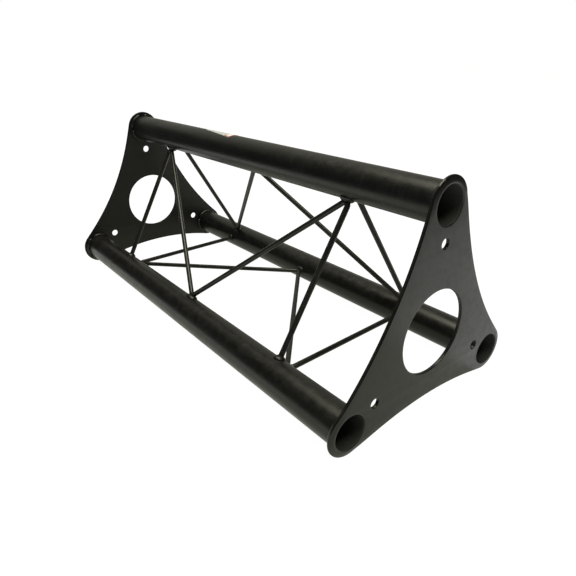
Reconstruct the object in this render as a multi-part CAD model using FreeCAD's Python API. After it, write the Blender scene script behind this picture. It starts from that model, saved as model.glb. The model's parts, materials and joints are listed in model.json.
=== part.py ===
import FreeCAD, Part
import math
import os

# A triangular lighting truss section: three round chord tubes between two end plates, laced on each
# face by one bent round bar, all joined by fillet welds. Millimetres. +X runs along the truss, the
# front chord lies on the -Y side, and the origin is on the floor below the middle of the truss.

# Driving dimensions
LENGTH = 500.0           # over the outer faces of the end plates
CHORD_SPACING = 176.0    # between chord axes, the side of an equilateral triangle
CHORD_RADIUS = 16.0      # outside of the chord tube
CHORD_WALL = 1.2
PLATE_THICKNESS = 3.0
LOBE_RADIUS = 21.0       # corner of the end plate, around the chord axis
SIDE_HOLLOW = 11.7       # depth of each concave side below the straight line across its two lobes
CENTRE_HOLE_RADIUS = 36.0
BOLT_HOLE_RADIUS = 4.2   # clears an M8 bolt
BOLT_CIRCLE_RADIUS = 73.3
EDGE_ROUND = 0.8         # rounded edges of the end plates
BOLT_HOLE_ROUND = 0.4    # rounded edges of their bolt holes
ROD_RADIUS = 2.5         # lacing bar
BEND_RADIUS = 3.6        # centre line of the lacing bar's bends
STITCH_LEG = 3.0         # legs of the fillet welds between chord and end plate
STITCH_BULGE = 0.5       # how far the face of a stitch stands out
STITCH_SPAN = 62.0       # degrees of the chord that one stitch covers
STITCH_START = 14.0      # degrees from the plate's tip to the first stitch
STITCH_COUNT = 4
BLOB_RADIUS = 5.6        # rounding of the welds between chord and lacing bar
BLOB_HEIGHT = 2.8        # how far they stand out of the chord
BEND_BLOB_LENGTH = 5.0   # straight stretch of the weld along a bend
LABEL_LENGTH = 60.0
LABEL_WIDTH = 14.0       # as seen from above
LABEL_THICKNESS = 0.2
LABEL_X = -45.0          # middle of the label along the truss
LABEL_Y = 3.0
LABEL_SKEW = -7.0        # degrees that the label was stuck on askew

# Where each lacing bar's feet and bends lie along the truss, and how far the bar lies outside the plane
# of its two chord axes. The bars are bent and set by hand, so they differ by a few millimetres.
LACING_X = {
    "front": {"foot_left": -150.0, "bend_left": -153.0, "bend_middle": 6.0,
              "bend_right": 162.0, "foot_right": 158.0},
    "bottom": {"foot_left": -155.0, "bend_left": -153.0, "bend_middle": 2.0,
               "bend_right": 159.0, "foot_right": 155.0},
    "rear": {"foot_left": -155.0, "bend_left": -151.0, "bend_middle": 3.0,
             "bend_right": 162.0, "foot_right": 151.0},
}
LACING_OFFSET = {"front": 0.7, "bottom": 0.0, "rear": 1.5}

# Worked out from the driving dimensions
TRIANGLE_HEIGHT = CHORD_SPACING * math.sqrt(3.0) / 2.0
BORE_RADIUS = CHORD_RADIUS - CHORD_WALL
BASE_Z = LOBE_RADIUS
HALF_LENGTH = LENGTH / 2.0
INNER_FACE_X = HALF_LENGTH - PLATE_THICKNESS
SEAT = CHORD_RADIUS + ROD_RADIUS    # from a chord's axis to the bar's centre line where it rests on it

X_AXIS = FreeCAD.Vector(1, 0, 0)
Z_AXIS = FreeCAD.Vector(0, 0, 1)
CENTRE = FreeCAD.Vector(0, 0, BASE_Z + TRIANGLE_HEIGHT / 3.0)
CHORDS = {
    "top": FreeCAD.Vector(0, 0, BASE_Z + TRIANGLE_HEIGHT),
    "front": FreeCAD.Vector(0, -CHORD_SPACING / 2.0, BASE_Z),
    "rear": FreeCAD.Vector(0, CHORD_SPACING / 2.0, BASE_Z),
}
# Each face of the truss: the chord that takes its bar's two feet and middle bend, and the chord that
# takes the two outer bends
FACES = {"front": ("front", "top"), "bottom": ("rear", "front"), "rear": ("top", "rear")}
SIDES = {"left": -1, "right": 1}
OUTER_BENDS = {"bend_left": -1, "bend_right": 1}


def unit(vector):
    """The vector at length one."""
    return vector * (1.0 / vector.Length)


def along_x(radius, start, end, centre):
    """A solid cylinder along the truss, from start to end."""
    base = FreeCAD.Vector(start, centre.y, centre.z)
    return Part.makeCylinder(radius, end - start, base, X_AXIS)


def outward(chord):
    """Direction from the middle of the triangle to a chord's axis."""
    return unit(CHORDS[chord] - CENTRE)


def chord_outside(chord):
    """The full cylinder that a chord tube's outer surface encloses."""
    return along_x(CHORD_RADIUS, -INNER_FACE_X, INNER_FACE_X, CHORDS[chord])


def chord_tube(chord):
    """One chord tube, butted between the inner faces of the end plates."""
    bore = along_x(BORE_RADIUS, -INNER_FACE_X, INNER_FACE_X, CHORDS[chord])
    return chord_outside(chord).cut(bore)


def side_arc_centre(first, second):
    """Centre of the hollow side between two chords: its arc runs smoothly into both lobes."""
    half = CHORD_SPACING / 2.0
    distance = (half ** 2 - SIDE_HOLLOW ** 2) / (2.0 * SIDE_HOLLOW)
    middle = (CHORDS[first] + CHORDS[second]) * 0.5
    return middle + unit(middle - CENTRE) * distance


def plate_outline():
    """Closed wire of the end plate in the plane x = 0: three round lobes and three hollow sides."""
    order = ["top", "front", "rear"]
    edges = []
    for index, chord in enumerate(order):
        following = order[(index + 1) % len(order)]
        corner = CHORDS[chord]
        next_corner = CHORDS[following]
        last_side = side_arc_centre(order[index - 1], chord)
        side = side_arc_centre(chord, following)
        lobe_start = corner + unit(last_side - corner) * LOBE_RADIUS
        lobe_tip = corner + outward(chord) * LOBE_RADIUS
        lobe_end = corner + unit(side - corner) * LOBE_RADIUS
        side_end = next_corner + unit(side - next_corner) * LOBE_RADIUS
        side_middle = side + unit(CENTRE - side) * (side_end - side).Length
        edges.append(Part.Arc(lobe_start, lobe_tip, lobe_end).toShape())
        edges.append(Part.Arc(lobe_end, side_middle, side_end).toShape())
    return Part.Wire(edges)


def face_arcs(plate):
    """The arcs and circles that bound both faces of an end plate."""
    return [edge for edge in plate.Edges if edge.BoundBox.XLength < EDGE_ROUND]


def has_radius(edge, radius):
    """Whether an arc is one of this radius."""
    return abs(edge.Curve.Radius - radius) < BOLT_HOLE_ROUND


def end_plate(side):
    """One end plate, with its chord bores, its large middle hole and its three bolt holes."""
    inner_x = SIDES[side] * INNER_FACE_X
    outer_x = SIDES[side] * HALF_LENGTH
    start, end = sorted((inner_x, outer_x))
    plate = Part.Face(plate_outline()).extrude(X_AXIS * PLATE_THICKNESS)
    plate.translate(X_AXIS * start)
    plate = plate.cut(along_x(CENTRE_HOLE_RADIUS, start, end, CENTRE))
    for axis in CHORDS.values():
        plate = plate.cut(along_x(BORE_RADIUS, start, end, axis))
    rounded = []
    for arc in face_arcs(plate):
        meets_a_tube = has_radius(arc, BORE_RADIUS) and abs(arc.BoundBox.XMin - inner_x) < EDGE_ROUND
        if not meets_a_tube:
            rounded.append(arc)
    plate = plate.makeFillet(EDGE_ROUND, rounded)
    for chord in CHORDS:
        bolt_axis = CENTRE + outward(chord) * BOLT_CIRCLE_RADIUS
        plate = plate.cut(along_x(BOLT_HOLE_RADIUS, start, end, bolt_axis))
    bolt_hole_arcs = [arc for arc in face_arcs(plate) if has_radius(arc, BOLT_HOLE_RADIUS)]
    return plate.makeFillet(BOLT_HOLE_ROUND, bolt_hole_arcs)


def face_point(face, x, height):
    """A point in a lacing bar's plane: x along the truss, height from the axis of the feet's chord."""
    low, high = FACES[face]
    outside = unit((CHORDS[low] + CHORDS[high]) * 0.5 - CENTRE) * LACING_OFFSET[face]
    return CHORDS[low] + outside + X_AXIS * x + unit(CHORDS[high] - CHORDS[low]) * height


def seat_height(face):
    """How far from a chord's axis, in the bar's plane, its centre line lies where it rests on the chord."""
    return math.sqrt(SEAT ** 2 - LACING_OFFSET[face] ** 2)


def bar_half(face, side):
    """Half of a lacing bar's centre line: the edges of its leg, outer bend and diagonal, and its end."""
    sign = SIDES[side]
    foot_x = sign * LACING_X[face]["foot_" + side]
    bend_x = sign * LACING_X[face]["bend_" + side] - BEND_RADIUS
    middle_x = sign * LACING_X[face]["bend_middle"]
    bend_height = CHORD_SPACING - seat_height(face) - BEND_RADIUS
    middle_height = seat_height(face) + BEND_RADIUS

    def on_circle(centre_x, centre_height, angle):
        x = centre_x + BEND_RADIUS * math.cos(angle)
        return face_point(face, sign * x, centre_height + BEND_RADIUS * math.sin(angle))

    # The leg starts inside the chord's wall and touches the outside of the outer bend's circle
    run = bend_x - foot_x
    rise = bend_height - BORE_RADIUS
    lean = math.atan2(run, rise) + math.asin(BEND_RADIUS / math.hypot(run, rise))
    # The diagonal crosses the line between the two bends' centres, so it is steeper than that line
    run = bend_x - middle_x
    rise = bend_height - middle_height
    slope = math.atan2(rise, run) + math.asin(2.0 * BEND_RADIUS / math.hypot(run, rise))

    foot = face_point(face, sign * foot_x, BORE_RADIUS)
    leg_end = on_circle(bend_x, bend_height, -lean)
    bend_tip = on_circle(bend_x, bend_height, (math.pi / 2.0 + slope - lean) / 2.0)
    diagonal_top = on_circle(bend_x, bend_height, math.pi / 2.0 + slope)
    diagonal_foot = on_circle(middle_x, middle_height, slope - math.pi / 2.0)
    edges = [
        Part.LineSegment(foot, leg_end).toShape(),
        Part.Arc(leg_end, bend_tip, diagonal_top).toShape(),
        Part.LineSegment(diagonal_top, diagonal_foot).toShape(),
    ]
    return edges, diagonal_foot


def lacing_bar(face):
    """One face's lacing bar: a round bar bent into a zigzag, its feet cut to sit on their chord."""
    left_edges, left_end = bar_half(face, "left")
    right_edges, right_end = bar_half(face, "right")
    resting_point = face_point(face, LACING_X[face]["bend_middle"], seat_height(face))
    middle_bend = Part.Arc(left_end, resting_point, right_end).toShape()
    path = Part.Wire(Part.__sortEdges__(left_edges + [middle_bend] + right_edges))
    foot, leg_end = [vertex.Point for vertex in left_edges[0].Vertexes]
    section = Part.Wire(Part.makeCircle(ROD_RADIUS, foot, leg_end - foot))
    bar = path.makePipeShell([section], True, True)
    return bar.cut(chord_outside(FACES[face][0]))


def plate_stitches(side, chord):
    """The fillet welds between a chord tube and an end plate: short beads round the tube."""
    sign = SIDES[side]
    axis = CHORDS[chord]
    root = FreeCAD.Vector(sign * INNER_FACE_X, axis.y, axis.z) + outward(chord) * CHORD_RADIUS
    on_plate = root + outward(chord) * STITCH_LEG
    on_tube = root - X_AXIS * (sign * STITCH_LEG)
    crown = (on_plate + on_tube) * 0.5 + unit(on_plate + on_tube - root * 2.0) * STITCH_BULGE
    profile = Part.Wire([
        Part.LineSegment(root, on_plate).toShape(),
        Part.Arc(on_plate, crown, on_tube).toShape(),
        Part.LineSegment(on_tube, root).toShape(),
    ])
    stitches = []
    for number in range(STITCH_COUNT):
        stitch = Part.Face(profile).revolve(axis, X_AXIS, STITCH_SPAN)
        stitch.rotate(axis, X_AXIS, STITCH_START + number * 360.0 / STITCH_COUNT)
        stitches.append(stitch)
    return Part.makeCompound(stitches)


def lacing_weld(face, bar, place):
    """The weld that runs round a bar where it meets a chord: a low mound, less the bar and the chord."""
    low, high = FACES[face]
    x = LACING_X[face][place]
    chord = low
    seat = face_point(face, x, seat_height(face))
    if place in OUTER_BENDS:
        x -= OUTER_BENDS[place] * BEND_RADIUS
        chord = high
        seat = face_point(face, x, CHORD_SPACING - seat_height(face))
    axis_point = CHORDS[chord] + X_AXIS * x
    centre = axis_point + unit(seat - axis_point) * (CHORD_RADIUS + BLOB_HEIGHT - BLOB_RADIUS)
    mound = Part.makeSphere(BLOB_RADIUS, centre)
    if place.startswith("bend"):
        start = centre - X_AXIS * (BEND_BLOB_LENGTH / 2.0)
        end = centre + X_AXIS * (BEND_BLOB_LENGTH / 2.0)
        mound = Part.makeCylinder(BLOB_RADIUS, BEND_BLOB_LENGTH, start, X_AXIS)
        mound = mound.fuse([Part.makeSphere(BLOB_RADIUS, start), Part.makeSphere(BLOB_RADIUS, end)])
    return mound.cut(chord_outside(chord)).cut(bar)


def label():
    """A blank label wrapped over the top chord, a little askew."""
    axis = CHORDS["top"]
    start = LABEL_X - LABEL_LENGTH
    end = LABEL_X + LABEL_LENGTH
    sheet = along_x(CHORD_RADIUS + LABEL_THICKNESS, start, end, axis)
    sheet = sheet.cut(along_x(CHORD_RADIUS, start, end, axis))
    corner = FreeCAD.Vector(LABEL_X - LABEL_LENGTH / 2.0, LABEL_Y - LABEL_WIDTH / 2.0, axis.z)
    outline = Part.makeBox(LABEL_LENGTH, LABEL_WIDTH, 2.0 * CHORD_RADIUS, corner)
    outline.rotate(FreeCAD.Vector(LABEL_X, LABEL_Y, axis.z), Z_AXIS, LABEL_SKEW)
    return sheet.common(outline)


def all_pieces():
    """Every piece of the truss section, by the name of its node."""
    pieces = {}
    for chord in CHORDS:
        pieces["chord_tube_" + chord] = chord_tube(chord)
    for side in SIDES:
        pieces["end_plate_" + side] = end_plate(side)
        for chord in CHORDS:
            pieces["plate_weld_" + side + "_" + chord] = plate_stitches(side, chord)
    for face in FACES:
        bar = lacing_bar(face)
        pieces["lacing_bar_" + face] = bar
        for place in LACING_X[face]:
            pieces["lacing_weld_" + face + "_" + place] = lacing_weld(face, bar, place)
    pieces["label"] = label()
    return pieces


os.makedirs("parts", exist_ok=True)
for node, shape in all_pieces().items():
    shape.exportStep("parts/" + node + ".step")
    print(node, len(shape.Solids), "solids", round(shape.Volume, 1), "mm3", "valid", shape.isValid())
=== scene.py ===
"""Looks of a black powder-coated lighting truss section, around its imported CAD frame.

Metres, in the CAD's frame: +X runs along the truss, the front chord is on the -Y side, and the floor
is at z = 0. The chord tubes and lacing bars are the CAD's own. The end plates, the weld beads and the
blank label are modelled here in full detail, in the places of their plain CAD solids.
"""

import json
import math

import bpy
from mathutils import Matrix, Vector, geometry, noise

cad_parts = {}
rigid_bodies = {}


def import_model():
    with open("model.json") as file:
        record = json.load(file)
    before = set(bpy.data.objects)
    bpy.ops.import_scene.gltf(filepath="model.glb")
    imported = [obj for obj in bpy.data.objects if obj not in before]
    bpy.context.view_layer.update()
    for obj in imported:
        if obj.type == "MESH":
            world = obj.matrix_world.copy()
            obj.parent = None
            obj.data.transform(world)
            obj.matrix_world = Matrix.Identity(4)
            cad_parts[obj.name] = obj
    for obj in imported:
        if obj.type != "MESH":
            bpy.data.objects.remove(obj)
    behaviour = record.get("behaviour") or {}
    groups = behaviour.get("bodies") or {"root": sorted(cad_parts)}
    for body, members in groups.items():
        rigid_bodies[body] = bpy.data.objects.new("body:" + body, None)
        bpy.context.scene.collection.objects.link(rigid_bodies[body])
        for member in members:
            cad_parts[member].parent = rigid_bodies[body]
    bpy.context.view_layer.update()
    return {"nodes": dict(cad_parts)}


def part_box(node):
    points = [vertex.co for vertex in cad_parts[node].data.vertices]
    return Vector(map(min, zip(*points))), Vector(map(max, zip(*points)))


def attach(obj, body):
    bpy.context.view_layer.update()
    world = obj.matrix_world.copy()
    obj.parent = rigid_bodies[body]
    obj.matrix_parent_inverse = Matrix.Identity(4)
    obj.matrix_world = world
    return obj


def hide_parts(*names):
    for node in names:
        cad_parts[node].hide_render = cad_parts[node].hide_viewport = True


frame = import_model()

MM = 0.001
BODY = "root"

CHORDS = ("top", "front", "rear")
SIDES = {"left": -1.0, "right": 1.0}      # the two ends, and on which side of x = 0 they are
BORE_RADIUS = 14.8 * MM
PLATE_THICKNESS = 3.0 * MM


# ---------------------------------------------------------------- places read from the frame

def middle(box):
    """Middle of a box given by its two corners."""
    low, high = box
    return (low + high) / 2.0


def mean(points):
    """The point in the middle of some points."""
    return sum(points, Vector()) / len(points)


def chord_axis(chord):
    """The point on a chord's axis at x = 0."""
    centre = middle(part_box("chord_tube_" + chord))
    return Vector((0.0, centre.y, centre.z))


def chord_radius():
    """Outer radius of the chord tubes."""
    low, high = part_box("chord_tube_top")
    return (high.z - low.z) / 2.0


AXES = {chord: chord_axis(chord) for chord in CHORDS}
CENTRE = mean(AXES.values())
RADIUS = chord_radius()
HALF_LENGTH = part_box("end_plate_right")[1].x
INNER_FACE_X = HALF_LENGTH - PLATE_THICKNESS
LOBE_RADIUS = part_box("end_plate_right")[1].z - AXES["top"].z


def outward(chord):
    """Direction from the middle of the truss to a chord's axis."""
    return (AXES[chord] - CENTRE).normalized()


def nearest_chord(place):
    """The chord whose axis is nearest to a place."""
    return min(CHORDS, key=lambda chord: (place - AXES[chord]).yz.length)


def angle_of(direction):
    """Angle about +X, from +Y, of a direction across the truss."""
    return math.atan2(direction.z, direction.y)


def across(angle):
    """The direction across the truss at an angle about +X, from +Y."""
    return Vector((0.0, math.cos(angle), math.sin(angle)))


# ---------------------------------------------------------------- material nodes

def new_node(tree, kind, **values):
    """A shader node, with its settings and its unlinked inputs set by name."""
    node = tree.nodes.new("ShaderNode" + kind)
    for name, value in values.items():
        if hasattr(node, name):
            setattr(node, name, value)
        else:
            node.inputs[name.replace("_", " ").title()].default_value = value
    return node


def object_place(tree):
    """Place on the object, in metres."""
    return new_node(tree, "TexCoord").outputs["Object"]


def stretched(tree, place, scale):
    """A place scaled differently along each axis."""
    mapping = new_node(tree, "Mapping")
    mapping.inputs["Scale"].default_value = scale
    tree.links.new(place, mapping.inputs["Vector"])
    return mapping.outputs["Vector"]


def noise_of(tree, place, scale, detail=3.0):
    """Noise from 0 to 1 whose spots are about 1 / scale metres wide."""
    node = new_node(tree, "TexNoise", scale=scale, detail=detail)
    tree.links.new(place, node.inputs["Vector"])
    return node.outputs["Fac"]


def remap(tree, value, source, target=(0.0, 1.0)):
    """A value taken smoothly from one range over to another, and kept inside it."""
    node = new_node(tree, "MapRange", interpolation_type="SMOOTHSTEP")
    for name, number in zip(("From Min", "From Max", "To Min", "To Max"), source + target):
        node.inputs[name].default_value = number
    tree.links.new(value, node.inputs["Value"])
    return node.outputs["Result"]


def combine(tree, operation, first, second):
    """Two values, or a value and a number, through one math operation."""
    node = new_node(tree, "Math", operation=operation)
    for socket, value in zip(node.inputs, (first, second)):
        if isinstance(value, (int, float)):
            socket.default_value = value
        else:
            tree.links.new(value, socket)
    return node.outputs["Value"]


def colour_socket(sockets, name):
    """A Mix node's socket for a colour: it has a socket of each name for every type of value."""
    return next(socket for socket in sockets if socket.name == name and socket.type == "RGBA")


def mix_colour(tree, amount, first, second):
    """One colour over another by an amount; each is a colour or another node's output."""
    node = new_node(tree, "Mix", data_type="RGBA")
    tree.links.new(amount, node.inputs["Factor"])
    for name, value in (("A", first), ("B", second)):
        socket = colour_socket(node.inputs, name)
        if isinstance(value, tuple):
            socket.default_value = value + (1.0,)
        else:
            tree.links.new(value, socket)
    return colour_socket(node.outputs, "Result")


def bump(tree, height, distance, strength, under=None):
    """The surface's normal tilted by a height from 0 to 1 that stands for a distance in metres."""
    node = new_node(tree, "Bump", distance=distance, strength=strength)
    tree.links.new(height, node.inputs["Height"])
    if under is not None:
        tree.links.new(under, node.inputs["Normal"])
    return node.outputs["Normal"]


def normal_part(tree, axis):
    """How far the surface faces along an axis, from -1 to 1."""
    geometry_node = new_node(tree, "NewGeometry")
    parts = new_node(tree, "SeparateXYZ")
    tree.links.new(geometry_node.outputs["Normal"], parts.inputs["Vector"])
    return parts.outputs[axis]


def new_material(name, specular, tint=(1.0, 1.0, 1.0)):
    """A material with its even values set, and its shader, whose other values are set or linked later."""
    material = bpy.data.materials.new(name)
    material.use_nodes = True
    shader = material.node_tree.nodes["Principled BSDF"]
    shader.inputs["Specular IOR Level"].default_value = specular
    shader.inputs["Specular Tint"].default_value = tint + (1.0,)
    return material, shader


# ---------------------------------------------------------------- powder coat

PAINT_SPECULAR = 0.36
PAINT_TINT = (1.0, 0.995, 0.86)
PAINT_DARKER = 0.7                # how dark its darker patches are, as a share of its colour
SCUFF_COLOUR = (0.060, 0.058, 0.052)
DUST_COLOUR = (0.120, 0.112, 0.098)
# Inside the bores: partly a duller inner wall, partly painted light for light bounced round inside the tube
BORE_COLOUR = (0.030, 0.031, 0.028)
BORE_ROUGHNESS = 0.72

# Noise: how many spots to the metre
PATCH_SCALE = 22.0
FLECK_SCALE = 160.0
SPECK_SCALE = 900.0
PEEL_SCALE = 520.0
GRIT_SCALE = 2600.0

# Rub marks: how many to the metre along each axis, so they run along the axes with small numbers
ALONG_TRUSS = (14.0, 900.0, 900.0)
ROUND_TUBES = (700.0, 40.0, 40.0)
OVER_PLATES = (300.0, 60.0, 600.0)

# Each look sets in over a range of noise, or of the way that the surface faces. Where two ranges stand
# together, the first turns into the second.
PATCHES_IN_COLOUR = (0.3, 0.7)
PATCHES_IN_GLOSS = (0.75, 1.25)
DUST_ON_SLOPES = (0.2, 1.0)
DUST_IN_FLECKS = ((0.35, 0.75), (0.1, 0.5))
DUST_IN_SPECKS = ((0.35, 0.65), (0.4, 1.0))
RUB_IN_STROKES = (0.62, 0.72)
RUB_IN_PATCHES = (0.45, 0.65)
EDGE_NEXT_TO_SIDE = (0.12, 0.35)
EDGE_NEXT_TO_FACE = ((0.93, 0.985), (1.0, 0.0))
BORE_FADE = (BORE_RADIUS + 0.1 * MM, BORE_RADIUS + 0.3 * MM)

# How much dust and rub marks show in the colour, and how much rougher they make the paint
DUST_IN_COLOUR = 0.16
RUB_IN_COLOUR = 0.25
DUST_IN_ROUGHNESS = 0.14
RUB_IN_ROUGHNESS = 0.07

PEEL_DEPTH = 0.03 * MM
GRIT_DEPTH = 0.006 * MM


def on_edges(tree):
    """Where the surface turns from facing across the truss to facing along it, from 0 to 1."""
    along = combine(tree, "ABSOLUTE", normal_part(tree, "X"), 0.0)
    after_side = remap(tree, along, EDGE_NEXT_TO_SIDE)
    before_face = remap(tree, along, *EDGE_NEXT_TO_FACE)
    return combine(tree, "MULTIPLY", after_side, before_face)


def in_bores(tree, place):
    """Whether a place lies inside a chord tube's bore, from 0 to 1."""
    flat = new_node(tree, "VectorMath", operation="MULTIPLY")
    tree.links.new(place, flat.inputs[0])
    flat.inputs[1].default_value = (0.0, 1.0, 1.0)
    nearest = None
    for chord in CHORDS:
        apart = new_node(tree, "VectorMath", operation="DISTANCE")
        tree.links.new(flat.outputs["Vector"], apart.inputs[0])
        apart.inputs[1].default_value = AXES[chord]
        distance = apart.outputs["Value"]
        nearest = distance if nearest is None else combine(tree, "MINIMUM", nearest, distance)
    return remap(tree, nearest, BORE_FADE, (1.0, 0.0))


def dust_on_top(tree, flecks, specks):
    """How much dust lies on the paint: most where it faces up, in flecks and specks."""
    facing_up = remap(tree, normal_part(tree, "Z"), DUST_ON_SLOPES)
    dust = combine(tree, "MULTIPLY", facing_up, remap(tree, flecks, *DUST_IN_FLECKS))
    return combine(tree, "MULTIPLY", dust, remap(tree, specks, *DUST_IN_SPECKS))


def grained(tree, place, strength):
    """The surface's normal, tilted by orange peel and grit."""
    peel = noise_of(tree, place, PEEL_SCALE, detail=1.0)
    grit = noise_of(tree, place, GRIT_SCALE, detail=1.0)
    normal = bump(tree, peel, PEEL_DEPTH, strength)
    return bump(tree, grit, GRIT_DEPTH, strength, normal)


def powder_coat(name, colour, roughness, grain, rub, edge_gloss=0.0):
    """Black powder coat: orange peel and grit, uneven gloss, dust on top, thin rub marks, and more gloss
    where it thins out over edges.
    """
    material, shader = new_material(name, PAINT_SPECULAR, PAINT_TINT)
    tree = material.node_tree
    place = object_place(tree)
    patches = noise_of(tree, place, PATCH_SCALE)
    flecks = noise_of(tree, place, FLECK_SCALE)
    specks = noise_of(tree, place, SPECK_SCALE, detail=1.0)
    strokes = noise_of(tree, stretched(tree, place, rub), 1.0, detail=2.0)
    dust = dust_on_top(tree, flecks, specks)
    rubbed = remap(tree, patches, RUB_IN_PATCHES)
    marks = combine(tree, "MULTIPLY", remap(tree, strokes, RUB_IN_STROKES), rubbed)
    bores = in_bores(tree, place)

    darker = tuple(PAINT_DARKER * part for part in colour)
    paint = mix_colour(tree, remap(tree, patches, PATCHES_IN_COLOUR), darker, colour)
    paint = mix_colour(tree, combine(tree, "MULTIPLY", marks, RUB_IN_COLOUR), paint, SCUFF_COLOUR)
    paint = mix_colour(tree, combine(tree, "MULTIPLY", dust, DUST_IN_COLOUR), paint, DUST_COLOUR)
    # Lighter inside the bores: partly the duller inner wall, partly painted bounced light
    paint = mix_colour(tree, bores, paint, BORE_COLOUR)
    tree.links.new(paint, shader.inputs["Base Color"])

    rough = remap(tree, combine(tree, "ADD", patches, flecks), PATCHES_IN_GLOSS, roughness)
    rough = combine(tree, "ADD", rough, combine(tree, "MULTIPLY", dust, DUST_IN_ROUGHNESS))
    rough = combine(tree, "ADD", rough, combine(tree, "MULTIPLY", marks, RUB_IN_ROUGHNESS))
    rough = combine(tree, "SUBTRACT", rough, combine(tree, "MULTIPLY", on_edges(tree), edge_gloss))
    rough = combine(tree, "MAXIMUM", rough, combine(tree, "MULTIPLY", bores, BORE_ROUGHNESS))
    tree.links.new(rough, shader.inputs["Roughness"])
    tree.links.new(grained(tree, place, grain), shader.inputs["Normal"])
    return material


# Painted light: the truss has one black coat, and these base colours differ only to set each part's
# brightness
chord_paint = powder_coat(
    "chord_paint", colour=(0.0040, 0.0041, 0.0041), roughness=(0.30, 0.38), grain=0.35, rub=ROUND_TUBES)
plate_paint = powder_coat(
    "plate_paint", colour=(0.0068, 0.0068, 0.0063), roughness=(0.32, 0.42), grain=0.55, rub=OVER_PLATES,
    edge_gloss=0.26)
lacing_paint = powder_coat(
    "lacing_paint", colour=(0.0120, 0.0120, 0.0102), roughness=(0.28, 0.36), grain=0.35, rub=ALONG_TRUSS)
weld_paint = powder_coat(
    "weld_paint", colour=(0.0075, 0.0073, 0.0064), roughness=(0.28, 0.40), grain=0.50, rub=ALONG_TRUSS)


# ---------------------------------------------------------------- label film

LABEL_GREY = (0.50, 0.52, 0.48)
LABEL_RED = (0.42, 0.055, 0.040)
LABEL_WHITE = (0.80, 0.78, 0.74)
LABEL_GRIME = (0.30, 0.28, 0.25)
VINYL_SPECULAR = 0.5
VINYL_ROUGHNESS = (0.22, 0.42)
VINYL_WAVE_DEPTH = 0.05 * MM
VINYL_WAVE_STRENGTH = 0.4

# Noise: how many spots to the metre, and the ranges over which the looks set in
GRIME_SCALE = 240.0
WAVE_SCALE = 300.0
LONG_SCUFFS = (120.0, 900.0, 900.0)
GRIME_IN_COLOUR = ((0.5, 0.8), (0.0, 0.3))
GRIME_IN_GLOSS = (0.3, 0.7)
SCUFFS_IN_COLOUR = ((0.66, 0.7), (0.0, 0.4))


def vinyl(name, colour):
    """Printed vinyl film, a little dirty and scuffed."""
    material, shader = new_material(name, VINYL_SPECULAR)
    tree = material.node_tree
    place = object_place(tree)
    grime = noise_of(tree, place, GRIME_SCALE)
    scuffs = noise_of(tree, stretched(tree, place, LONG_SCUFFS), 1.0)
    film = mix_colour(tree, remap(tree, grime, *GRIME_IN_COLOUR), colour, LABEL_GRIME)
    film = mix_colour(tree, remap(tree, scuffs, *SCUFFS_IN_COLOUR), film, LABEL_GRIME)
    tree.links.new(film, shader.inputs["Base Color"])
    tree.links.new(remap(tree, grime, GRIME_IN_GLOSS, VINYL_ROUGHNESS), shader.inputs["Roughness"])
    waves = noise_of(tree, place, WAVE_SCALE)
    tree.links.new(bump(tree, waves, VINYL_WAVE_DEPTH, VINYL_WAVE_STRENGTH), shader.inputs["Normal"])
    return material


label_film = vinyl("label_film", LABEL_GREY)
label_frame = vinyl("label_frame", LABEL_RED)
label_block = vinyl("label_block", LABEL_WHITE)
LABEL_PARTS = (label_film, label_frame, label_block)


# ---------------------------------------------------------------- meshes

def make_normals_point_out(piece):
    """Turns a closed mesh's faces outwards. Edit mode opens on every selected object, and the CAD
    nodes come in selected, so this piece is made the only one.
    """
    for other in bpy.context.view_layer.objects:
        other.select_set(other == piece)
    bpy.context.view_layer.objects.active = piece
    bpy.ops.object.mode_set(mode="EDIT")
    bpy.ops.mesh.select_all(action="SELECT")
    bpy.ops.mesh.normals_make_consistent(inside=False)
    bpy.ops.object.mode_set(mode="OBJECT")


class Builder:
    """The vertices and faces of one mesh while it is put together."""

    def __init__(self):
        self.vertices = []
        self.faces = []

    def ring(self, points):
        """Adds a row of points and gives their numbers."""
        first = len(self.vertices)
        self.vertices.extend(tuple(point) for point in points)
        return list(range(first, first + len(points)))

    def band(self, first, second, closed=True):
        """Four-sided faces between two rows of equal length."""
        count = len(first)
        for index in range(count if closed else count - 1):
            following = (index + 1) % count
            self.faces.append((first[index], first[following], second[following], second[index]))

    def bands(self, rows):
        """Four-sided faces between each closed row and the next."""
        for first, second in zip(rows, rows[1:]):
            self.band(first, second)

    def fan(self, ring, point):
        """Three-sided faces from a closed row to one point."""
        tip = self.ring([point])[0]
        for index, vertex in enumerate(ring):
            self.faces.append((vertex, ring[(index + 1) % len(ring)], tip))

    def flat_face(self, loops):
        """Three-sided faces that fill a face across the truss: its outline comes first, then its holes."""
        numbers = [number for loop in loops for number in loop]
        polygons = [[Vector(self.vertices[number]).yz.to_3d() for number in loop] for loop in loops]
        for triangle in geometry.tessellate_polygon(polygons):
            self.faces.append(tuple(numbers[corner] for corner in triangle))

    def piece(self, name, node, slot, *materials):
        """The finished smooth mesh as a piece of the truss, in the place of a CAD node."""
        mesh = bpy.data.meshes.new(name)
        mesh.from_pydata(self.vertices, [], self.faces)
        mesh.validate()
        mesh.shade_smooth()
        for material in materials:
            mesh.materials.append(material)
        piece = bpy.data.objects.new(name, mesh)
        bpy.context.scene.collection.objects.link(piece)
        make_normals_point_out(piece)
        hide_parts(node)
        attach(piece, BODY)
        return piece


# ---------------------------------------------------------------- end plates

SIDE_HOLLOW = 11.7 * MM          # depth of a plate's hollow side below the straight line across its lobes
MIDDLE_HOLE_RADIUS = 36.0 * MM
BOLT_HOLE_RADIUS = 4.2 * MM
BOLT_CIRCLE_RADIUS = 73.3 * MM

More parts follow.
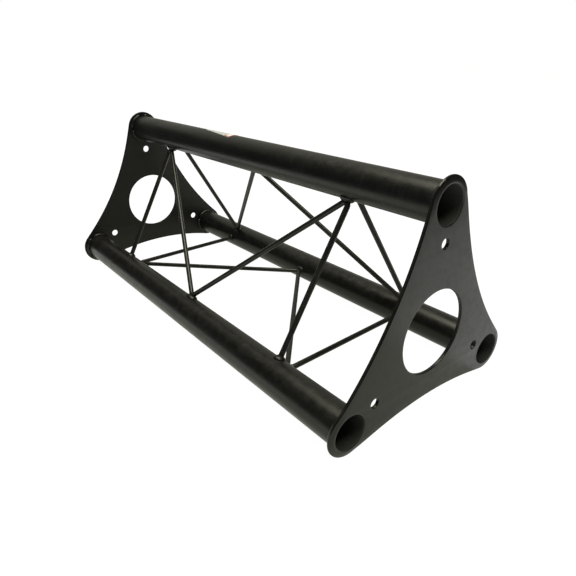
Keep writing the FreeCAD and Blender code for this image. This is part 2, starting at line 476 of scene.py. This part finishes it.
# Edges of an end plate, as the punch rolled them over: how wide and how deep the roll is, and the radius
# of the edge itself
OUTLINE_EDGE = (4.6 * MM, 1.0 * MM, 0.7 * MM)
BORE_EDGE = (1.4 * MM, 0.22 * MM, 0.7 * MM)
MIDDLE_HOLE_EDGE = (1.6 * MM, 0.12 * MM, 0.6 * MM)
BOLT_HOLE_EDGE = (1.0 * MM, 0.08 * MM, 0.4 * MM)
INNER_FACE_EDGE = (0.6 * MM, 0.0, 0.6 * MM)
SHARP_EDGE = (0.1 * MM, 0.0, 0.1 * MM)
ROLL_POWER = 1.3                 # 1 for a straight slope, 2 for one that starts off flat
SIDE_ROLL = 0.12                 # the roll's depth in the middle of a hollow side, as a share of its depth
SIDE_ROLL_POWER = 10             # how soon the roll fades out on the way there: the higher, the sooner

EDGE_STEPS = 12
LOBE_STEPS = 64
SIDE_STEPS = 48
HOLE_STEPS = 128


def side_centre(first, second):
    """Centre of the hollow side between two chords."""
    half = (AXES[first] - AXES[second]).length / 2.0
    distance = (half ** 2 - SIDE_HOLLOW ** 2) / (2.0 * SIDE_HOLLOW)
    between = (AXES[first] + AXES[second]) / 2.0
    return between + (between - CENTRE).normalized() * distance


def arc(centre, radius, start, end, steps):
    """Points of an arc about a centre, without its last one."""
    return [centre + across(start + (end - start) * step / steps) * radius for step in range(steps)]


def outline(inset):
    """The end plate's outline moved inwards by inset, as points at x = 0."""
    points = []
    for index, chord in enumerate(CHORDS):
        following = CHORDS[(index + 1) % len(CHORDS)]
        last_side = side_centre(CHORDS[index - 1], chord)
        side = side_centre(chord, following)
        tip = angle_of(outward(chord))
        half_lobe = (last_side - AXES[chord]).angle(outward(chord))
        points += arc(AXES[chord], LOBE_RADIUS - inset, tip - half_lobe, tip + half_lobe, LOBE_STEPS)
        side_radius = (side - AXES[chord]).length - LOBE_RADIUS + inset
        inwards = angle_of(CENTRE - side)
        half_side = (AXES[chord] - side).angle(CENTRE - side)
        points += arc(side, side_radius, inwards + half_side, inwards - half_side, SIDE_STEPS)
    return points


def outline_depths():
    """How deep the outline is rolled over at each of its points: fully round the lobes."""
    lobe = [1.0] * LOBE_STEPS
    side = []
    for step in range(SIDE_STEPS):
        from_middle = abs(2.0 * step / SIDE_STEPS - 1.0)
        side.append(SIDE_ROLL + (1.0 - SIDE_ROLL) * from_middle ** SIDE_ROLL_POWER)
    return (lobe + side) * len(CHORDS)


def hole(centre, radius):
    """A round hole's edge, as a function that gives its points at x = 0 when it is grown by an amount."""
    def grown(growth):
        return arc(centre, radius + growth, 0.0, 2.0 * math.pi, HOLE_STEPS)
    return grown


def plate_holes():
    """Each hole of an end plate: its centre, its radius, and its edges on the outer and inner faces."""
    holes = [(CENTRE, MIDDLE_HOLE_RADIUS, MIDDLE_HOLE_EDGE, INNER_FACE_EDGE)]
    for chord in CHORDS:
        bolt = CENTRE + outward(chord) * BOLT_CIRCLE_RADIUS
        holes.append((AXES[chord], BORE_RADIUS, BORE_EDGE, SHARP_EDGE))
        holes.append((bolt, BOLT_HOLE_RADIUS, BOLT_HOLE_EDGE, BOLT_HOLE_EDGE))
    return holes


def plate_edges():
    """Each closed edge of an end plate: its points at any inset, how deep it is rolled over at each of
    them, and its edges on the outer and inner faces.
    """
    edges = [(outline, outline_depths(), OUTLINE_EDGE, INNER_FACE_EDGE)]
    for centre, radius, outer_edge, inner_edge in plate_holes():
        edges.append((hole(centre, radius), [1.0] * HOLE_STEPS, outer_edge, inner_edge))
    return edges


def edge_profile(edge):
    """Points down a rolled edge: each one's distance from the side wall, and how far the roll and the
    rounding have dropped below the face there.
    """
    width, depth, radius = edge
    points = []
    for step in range(EDGE_STEPS + 1):
        inset = width * (1.0 - math.sin(0.5 * math.pi * step / EDGE_STEPS))
        roll = depth * (1.0 - inset / width) ** ROLL_POWER
        rounding = 0.0
        if inset < radius:
            rounding = radius - math.sqrt(radius ** 2 - (radius - inset) ** 2)
        points.append((inset, roll, rounding))
    return points


def edge_rows(sign, points_at, depths, outer_edge, inner_edge):
    """Rows of points from a plate's outer face over one of its edges to its inner face."""
    rows = []
    for inset, roll, rounding in edge_profile(outer_edge):
        row = []
        for point, depth in zip(points_at(inset), depths):
            x = HALF_LENGTH - roll * depth - rounding
            row.append(Vector((sign * x, point.y, point.z)))
        rows.append(row)
    for inset, roll, rounding in reversed(edge_profile(inner_edge)):
        x = INNER_FACE_X + roll + rounding
        rows.append([Vector((sign * x, point.y, point.z)) for point in points_at(inset)])
    return rows


def make_plate(side):
    """One end plate with its edges rolled over on the outer face."""
    builder = Builder()
    outer_loops = []
    inner_loops = []
    for edge in plate_edges():
        rings = [builder.ring(row) for row in edge_rows(SIDES[side], *edge)]
        builder.bands(rings)
        outer_loops.append(rings[0])
        inner_loops.append(rings[-1])
    builder.flat_face(outer_loops)
    builder.flat_face(inner_loops)
    builder.piece("end_plate_" + side + "_rolled", "end_plate_" + side, "plate_paint", plate_paint)


# ---------------------------------------------------------------- welds

RIPPLE_LENGTH = 1.7 * MM         # from one ripple of a bead to the next
RIPPLE_HEIGHT = 0.16 * MM
RIPPLE_START = 0.6               # the factor on a ripple's height where it starts; it is 1 where it ends

# Beads between a chord and an end plate
STITCH_COUNT = 4
STITCH_START = 14.0              # degrees from the plate's tip to the first bead round a chord
STITCH_SPAN = 62.0
STITCH_OVERRUN = 8.0             # degrees that a bead's tapered end runs on
STITCH_LEG = 3.6 * MM
STITCH_SINK = 0.15 * MM          # how far a bead reaches into the tube and the plate
STITCH_BLUNTNESS = 0.05          # how full a bead is at its very ends
STITCH_FILLING = 5.0             # how fast it fills out from there: 5 fills it within a fifth of its length
STITCH_UNEVENNESS = 0.10         # as a share of the leg
STITCH_SPOT = 4.0 * MM           # the size of its thicker and thinner places
STITCH_THICKNESS = 0.80          # from its corner to its edges, as a share of the leg
STITCH_SWELL = 0.08              # how much further it reaches in the middle, as a share of the leg
STITCH_CRESCENT = 0.9 * MM       # how far its ripples are out of step in the middle
STITCH_ACROSS = 10
STITCH_ALONG = 96

# Welds round a lacing bar on a chord
MOUND_REACH = 5.6 * MM           # from the middle of the weld to its edge on the chord
MOUND_HEIGHT = 2.8 * MM
MOUND_FOOT = 0.6 * MM            # how deep its hidden underside lies in the tube wall
MOUND_ROUNDNESS = 0.7            # 0.5 for a domed outline, 1 for a parabola's
MOUND_UNEVENNESS = 0.12          # how much the welds differ in reach
MOUND_SPOT = 37.0 * MM           # the size of the stretches of the truss where they are larger or smaller
MOUND_EDGE_UNEVENNESS = 0.14     # how much a weld's reach differs round its edge
MOUND_EDGE_SPOT = 1.3 * MM
MOUND_LUMP = 0.22 * MM           # height of the lumps on top
MOUND_LUMP_SPOT = 1.8 * MM
MOUND_RIPPLES = 1.6              # height of its ripples, as a share of a bead's
MOUND_RIPPLE_LEAN = 0.6 * MM     # how far its ripples are out of step at the edge
MOUND_TUCK = 0.3 * MM            # how deep its edge is tucked into the tube
MOUND_TUCK_POWER = 8             # how near to the edge the tuck starts: the higher, the nearer
MOUND_RINGS = 16
MOUND_SPOKES = 72


def ripple(distance):
    """Height of a bead's ripples at a distance along it: steeper on one side, as they froze in turn."""
    phase = distance / RIPPLE_LENGTH
    share = phase - math.floor(phase)
    lean = RIPPLE_START + (1.0 - RIPPLE_START) * share
    return RIPPLE_HEIGHT * (1.0 - (2.0 * share - 1.0) ** 2) * lean


def wobble(place, size):
    """Smooth unevenness from -1 to 1 with spots of a given size."""
    return noise.noise(place / size)


def stitch_row(chord, sign, angle, length, share):
    """Points across a bead at an angle round its chord, over its surface and back through its root."""
    taper = min(1.0, STITCH_FILLING * min(share, 1.0 - share) + STITCH_BLUNTNESS)
    direction = across(angle)
    root = AXES[chord] + direction * RADIUS + Vector((sign * INNER_FACE_X, 0.0, 0.0))
    fullness = math.sqrt(1.0 - (1.0 - taper) ** 2)
    size = STITCH_LEG * (fullness + STITCH_UNEVENNESS * wobble(root, STITCH_SPOT))
    row = []
    for place in range(STITCH_ACROSS + 1):
        lean = 0.5 * math.pi * place / STITCH_ACROSS
        crown = math.sin(2.0 * lean)
        reach = size * (STITCH_THICKNESS + STITCH_SWELL * crown)
        reach += ripple(length + STITCH_CRESCENT * crown) * crown ** 0.5 * taper
        out = direction * (reach * math.sin(lean))
        along = Vector((-sign * reach * math.cos(lean), 0.0, 0.0))
        row.append(root + out + along - direction * STITCH_SINK)
    row.append(root - direction * STITCH_SINK + Vector((sign * STITCH_SINK, 0.0, 0.0)))
    return row


def make_stitches(side, chord):
    """The weld beads between a chord tube and an end plate."""
    span = math.radians(STITCH_SPAN + 2.0 * STITCH_OVERRUN)
    builder = Builder()
    for number in range(STITCH_COUNT):
        from_tip = STITCH_START - STITCH_OVERRUN + number * 360.0 / STITCH_COUNT
        start = angle_of(outward(chord)) + math.radians(from_tip)
        rows = []
        for step in range(STITCH_ALONG + 1):
            share = step / STITCH_ALONG
            rows.append(stitch_row(chord, SIDES[side], start + span * share, RADIUS * span * share, share))
        rings = [builder.ring(row) for row in rows]
        builder.bands(rings)
        builder.fan(rings[0], mean(rows[0]))
        builder.fan(rings[-1], mean(rows[-1]))
    name = "plate_weld_" + side + "_" + chord
    builder.piece(name + "_bead", name, "weld_paint", weld_paint)


def mound_shape(node):
    """A lacing weld's middle, its chord's axis, its reach, and half the length of its straight part."""
    low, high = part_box(node)
    centre = middle((low, high))
    reach = MOUND_REACH * (1.0 + MOUND_UNEVENNESS * wobble(centre, MOUND_SPOT))
    half_straight = max(0.0, (high.x - low.x) / 2.0 - reach)
    return centre, AXES[nearest_chord(centre)], reach, half_straight


def mound_point(shape, share, turn):
    """A point on a lacing weld, at a share of the way from its crown to its edge."""
    centre, axis, reach, half_straight = shape
    spot = centre + across(turn) * MM
    edge = reach * (1.0 + MOUND_EDGE_UNEVENNESS * wobble(spot, MOUND_EDGE_SPOT))
    straight = half_straight * max(-1.0, min(1.0, 2.0 * math.cos(turn)))
    along = share * (edge * math.cos(turn) + straight)
    aside = share * edge * math.sin(turn)
    direction = across(angle_of(centre - axis) + aside / RADIUS)
    place = Vector((centre.x + along, axis.y, axis.z)) + direction * RADIUS
    tuck = share ** MOUND_TUCK_POWER
    ripples = MOUND_RIPPLES * ripple((reach + half_straight) * turn + share * MOUND_RIPPLE_LEAN)
    height = MOUND_HEIGHT * (1.0 - share ** 2) ** MOUND_ROUNDNESS
    height += ripples * share * (1.0 - tuck)
    height -= MOUND_TUCK * tuck
    height += MOUND_LUMP * wobble(place, MOUND_LUMP_SPOT) * (1.0 - share)
    return place + direction * height


def make_mound(node):
    """The weld that runs round a lacing bar where it meets a chord."""
    shape = mound_shape(node)
    centre, axis = shape[:2]
    builder = Builder()
    turns = [2.0 * math.pi * spoke / MOUND_SPOKES for spoke in range(MOUND_SPOKES)]
    rings = []
    for ring in range(1, MOUND_RINGS + 1):
        rings.append(builder.ring([mound_point(shape, ring / MOUND_RINGS, turn) for turn in turns]))
    for inner, outer in zip(rings, rings[1:]):
        builder.band(outer, inner)
    inwards = across(angle_of(centre - axis)) * (RADIUS - MOUND_FOOT)
    builder.fan(rings[0], mound_point(shape, 0.0, 0.0))
    builder.fan(rings[-1], Vector((centre.x, axis.y, axis.z)) + inwards)
    builder.piece(node + "_bead", node, "weld_paint", weld_paint)


# ---------------------------------------------------------------- label

LABEL_LENGTH = 57.0 * MM
LABEL_WIDTH = 13.0 * MM
LABEL_START = -75.0 * MM         # where its left end lies along the truss
LABEL_SKEW = math.radians(6.6)
LABEL_MIDDLE = -2.8 * MM         # how far its middle lies round the chord from the top, to the front
LABEL_CORNER = 2.5 * MM
LABEL_THICKNESS = 0.2 * MM
LABEL_EDGE = 0.04 * MM           # how high its edges stand, and how deep its hidden underside lies
LABEL_CELL = 0.4 * MM
FRAME_INSET = 0.4 * MM           # the printed frame, from the label's edge
FRAME_LINE = 1.2 * MM
FRAME_LENGTH = 12.0 * MM
LABEL_COLUMNS = round(LABEL_LENGTH / LABEL_CELL)
LABEL_ROWS = round(LABEL_WIDTH / LABEL_CELL)


def label_half_width(along):
    """Half the label's width at a place along it, narrower in its rounded corners."""
    from_end = min(along, LABEL_LENGTH - along)
    if from_end >= LABEL_CORNER:
        return LABEL_WIDTH / 2.0
    return LABEL_WIDTH / 2.0 - LABEL_CORNER + math.sqrt(LABEL_CORNER ** 2 - (LABEL_CORNER - from_end) ** 2)


def label_corner(column, row):
    """How far along the label and aside from its middle line a corner of its grid lies."""
    along = LABEL_LENGTH * column / LABEL_COLUMNS
    return along, label_half_width(along) * (2.0 * row / LABEL_ROWS - 1.0)


def label_height(column, row):
    """Height of the label's top above the tube at a corner of its grid."""
    is_edge = column in (0, LABEL_COLUMNS) or row in (0, LABEL_ROWS)
    return LABEL_EDGE if is_edge else LABEL_THICKNESS


def label_part(along, aside):
    """Which part of the label a place lies on: its grey film, its red frame or the white block inside."""
    from_right = LABEL_LENGTH - along
    from_side = LABEL_WIDTH / 2.0 - abs(aside)
    if not (FRAME_INSET < from_right < FRAME_LENGTH and from_side > FRAME_INSET):
        return label_film
    clear_ends = FRAME_INSET + FRAME_LINE < from_right < FRAME_LENGTH - FRAME_LINE
    clear_sides = from_side > FRAME_INSET + FRAME_LINE
    return label_block if clear_ends and clear_sides else label_frame


def label_place(along, aside, lift):
    """A place on the label, wrapped over the top chord, at a height above the tube."""
    from_middle = along - LABEL_LENGTH / 2.0
    shift = from_middle * math.cos(LABEL_SKEW) + aside * math.sin(LABEL_SKEW)
    arc_length = from_middle * math.sin(LABEL_SKEW) - aside * math.cos(LABEL_SKEW) + LABEL_MIDDLE
    direction = across(math.pi / 2.0 + arc_length / RADIUS)
    along_truss = Vector((LABEL_START + LABEL_LENGTH / 2.0 + shift, 0.0, 0.0))
    return AXES["top"] + along_truss + direction * (RADIUS + lift)


def make_label():
    """A blank label over the top chord, a little askew, with a plain red frame at one end."""
    builder = Builder()
    tops = []
    undersides = []
    for column in range(LABEL_COLUMNS + 1):
        corners = [label_corner(column, row) for row in range(LABEL_ROWS + 1)]
        heights = [label_height(column, row) for row in range(LABEL_ROWS + 1)]
        tops.append(builder.ring([label_place(*corner, height) for corner, height in zip(corners, heights)]))
        undersides.append(builder.ring([label_place(*corner, -LABEL_EDGE) for corner in corners]))
    for first, second in zip(tops, tops[1:]):
        builder.band(first, second, closed=False)
    for first, second in zip(undersides, undersides[1:]):
        builder.band(second, first, closed=False)
    for end in (0, -1):
        builder.band(tops[end], undersides[end], closed=False)
    for end in (0, -1):
        builder.band([top[end] for top in tops], [underside[end] for underside in undersides], closed=False)
    label = builder.piece("label_sheet", "label", "label_film", *LABEL_PARTS)
    cells = [label_corner(column, row) for column in range(LABEL_COLUMNS) for row in range(LABEL_ROWS)]
    for polygon, cell in zip(label.data.polygons, cells):
        polygon.material_index = LABEL_PARTS.index(label_part(*cell))


# ---------------------------------------------------------------- floor and light

FLOOR_SIZE = 40.0
FLOOR_COLOUR = (0.10, 0.10, 0.10, 1.0)
FLOOR_SPECULAR = 0.2
FLOOR_ROUGHNESS = 0.9
FLOOR_GLOW = 0.98
BACKDROP_RADIUS = 15.0

BLACK = (0.0, 0.0, 0.0, 1.0)
WHITE = (1.0, 1.0, 1.0, 1.0)
CARD_COLOUR = (1.0, 1.0, 0.88, 1.0)
ROOM_COLOUR = (1.0, 0.99, 0.86, 1.0)
ROOM_DARK = 0.045
ROOM_LIGHT = 0.42
ROOM_LIGHT_SIDE = (-0.90, 0.44, 0.0)
ROOM_LIGHT_EDGE = (0.52, 0.75)    # how far towards that side a direction points where the light sets in

# Flat cards on the floor: where they start and end along X and Y, and how bright they are
SHADE_HEIGHT = 0.2 * MM
FLOOR_SHADES = {
    "shade_under": ((-0.30, 0.25), (-0.06, 0.20), 0.55),
    "shade_front": ((-0.30, 0.25), (-0.15, -0.06), 0.78),
    "shade_right": ((0.25, 0.38), (-0.15, 0.08), 0.72),
}

# Curved dark cards stood on the floor: their first and last headings in degrees about +Z, from +X, their
# distance from the middle of the truss, and their height
FLAG_STEPS = 24
FLAGS = {
    "flag_front_left": (-172.0, -75.0, 0.56, 0.42),
    "flag_right": (-20.0, 95.0, 0.95, 0.45),
}

SOFTBOX_COLOUR = (1.0, 0.985, 0.88)
SOFTBOX_PLACE = (0.17, 0.0, 1.5)
SOFTBOX_AIM = (0.17, 0.0, 0.0)
SOFTBOX_LENGTH = 1.45
SOFTBOX_WIDTH = 0.8
SOFTBOX_RADIANCE = 8.0


def hide_from(staging, kinds):
    """Keeps a piece of staging out of some kinds of rays."""
    for kind in kinds:
        setattr(staging, "visible_" + kind, False)


def make_floor():
    """A plain pale floor, with a glow of its own like a light table's."""
    material, shader = new_material("floor", FLOOR_SPECULAR)
    shader.inputs["Base Color"].default_value = FLOOR_COLOUR
    shader.inputs["Roughness"].default_value = FLOOR_ROUGHNESS
    shader.inputs["Emission Color"].default_value = WHITE
    shader.inputs["Emission Strength"].default_value = FLOOR_GLOW
    bpy.ops.mesh.primitive_plane_add(size=FLOOR_SIZE, location=(0.0, 0.0, 0.0))
    floor = bpy.context.object
    floor.name = "floor"
    floor.data.materials.append(material)


def glow_material(name, colour, strength):
    """A material that only glows."""
    material, shader = new_material(name, 0.0)
    shader.inputs["Base Color"].default_value = BLACK
    shader.inputs["Emission Color"].default_value = colour
    shader.inputs["Emission Strength"].default_value = strength
    return material


def make_backdrop():
    """A white dome that only the camera sees, so that the picture is white above the floor too."""
    bpy.ops.mesh.primitive_uv_sphere_add(radius=BACKDROP_RADIUS, segments=64, ring_count=32)
    dome = bpy.context.object
    dome.name = "backdrop"
    dome.data.materials.append(glow_material("backdrop", WHITE, 1.0))
    hide_from(dome, ("diffuse", "glossy", "transmission", "volume_scatter", "shadow"))


def make_card(name, vertices, faces, strength):
    """A card of one even brightness, seen only in reflections."""
    mesh = bpy.data.meshes.new(name)
    mesh.from_pydata(vertices, [], faces)
    mesh.materials.append(glow_material(name, CARD_COLOUR, strength))
    card = bpy.data.objects.new(name, mesh)
    bpy.context.scene.collection.objects.link(card)
    hide_from(card, ("camera", "diffuse", "transmission", "volume_scatter", "shadow"))


def make_floor_shade(name, x_ends, y_ends, strength):
    """A flat card just above the floor that stands for the shade round the truss."""
    corners = [(x, y, SHADE_HEIGHT) for x in x_ends for y in y_ends]
    make_card(name, corners, [(0, 2, 3, 1)], strength)


def make_flag(name, start, end, distance, height):
    """A curved dark card stood on the floor, from one heading to another."""
    vertices = []
    for step in range(FLAG_STEPS + 1):
        heading = math.radians(start + (end - start) * step / FLAG_STEPS)
        x = distance * math.cos(heading)
        y = distance * math.sin(heading)
        vertices += [(x, y, 0.0), (x, y, height)]
    faces = [(2 * step, 2 * step + 2, 2 * step + 3, 2 * step + 1) for step in range(FLAG_STEPS)]
    make_card(name, vertices, faces, ROOM_DARK)


def make_world():
    """A studio that is lighter towards the back left and darker elsewhere."""
    world = bpy.data.worlds.new("studio")
    bpy.context.scene.world = world
    world.use_nodes = True
    tree = world.node_tree
    direction = new_node(tree, "TexCoord").outputs["Generated"]
    facing = new_node(tree, "VectorMath", operation="DOT_PRODUCT")
    tree.links.new(direction, facing.inputs[0])
    facing.inputs[1].default_value = ROOM_LIGHT_SIDE
    strength = remap(tree, facing.outputs["Value"], ROOM_LIGHT_EDGE, (ROOM_DARK, ROOM_LIGHT))
    tree.links.new(strength, tree.nodes["Background"].inputs["Strength"])
    tree.nodes["Background"].inputs["Color"].default_value = ROOM_COLOUR


def make_softbox():
    """A long soft light of an even radiance above the truss, a little to the right, pointed down."""
    data = bpy.data.lights.new("overhead", "AREA")
    data.shape = "RECTANGLE"
    data.size = SOFTBOX_LENGTH
    data.size_y = SOFTBOX_WIDTH
    data.energy = SOFTBOX_RADIANCE * math.pi * SOFTBOX_LENGTH * SOFTBOX_WIDTH
    data.color = SOFTBOX_COLOUR
    softbox = bpy.data.objects.new("overhead", data)
    softbox.location = SOFTBOX_PLACE
    aim = Vector(SOFTBOX_AIM) - Vector(SOFTBOX_PLACE)
    softbox.rotation_euler = aim.to_track_quat("-Z", "Y").to_euler()
    bpy.context.scene.collection.objects.link(softbox)


# ---------------------------------------------------------------- camera

CAMERA_PLACE = (0.4409, -0.2967, 0.2726)
CAMERA_HEADING = 51.30           # degrees about +Z, from facing +Y
CAMERA_TILT = -26.15             # degrees, up from level
CAMERA_ROLL = -0.64              # degrees about its line of sight
CAMERA_LENS = 31.25              # millimetres, like the sensor's width
CAMERA_SENSOR = 36.0
CAMERA_SHIFT = (-0.0016, 0.0070)
CAMERA_NEAREST = 0.01            # nearest distance that it sees


def make_camera():
    """The camera, as it stood for the picture."""
    data = bpy.data.cameras.new("camera")
    data.lens = CAMERA_LENS
    data.sensor_width = CAMERA_SENSOR
    data.shift_x, data.shift_y = CAMERA_SHIFT
    data.clip_start = CAMERA_NEAREST
    camera = bpy.data.objects.new("camera", data)
    camera.location = CAMERA_PLACE
    aim = Matrix.Rotation(math.radians(CAMERA_HEADING), 4, "Z")
    aim = aim @ Matrix.Rotation(math.radians(90.0 + CAMERA_TILT), 4, "X")
    aim = aim @ Matrix.Rotation(math.radians(CAMERA_ROLL), 4, "Z")
    camera.rotation_euler = aim.to_euler()
    bpy.context.scene.collection.objects.link(camera)
    bpy.context.scene.camera = camera


# ---------------------------------------------------------------- the scene

def set_material(node, material):
    """Gives a CAD node its material."""
    mesh = frame["nodes"][node].data
    mesh.materials.clear()
    mesh.materials.append(material)


for node in sorted(frame["nodes"]):
    if node.startswith("chord_tube_"):
        set_material(node, chord_paint)
    elif node.startswith("lacing_bar_"):
        set_material(node, lacing_paint)
    elif node.startswith("lacing_weld_"):
        make_mound(node)
make_label()
for side in SIDES:
    make_plate(side)
    for chord in CHORDS:
        make_stitches(side, chord)

make_camera()
make_floor()
make_backdrop()
make_world()
for name, shade in FLOOR_SHADES.items():
    make_floor_shade(name, *shade)
for name, flag in FLAGS.items():
    make_flag(name, *flag)
make_softbox()
bpy.context.scene.view_settings.view_transform = "Standard"
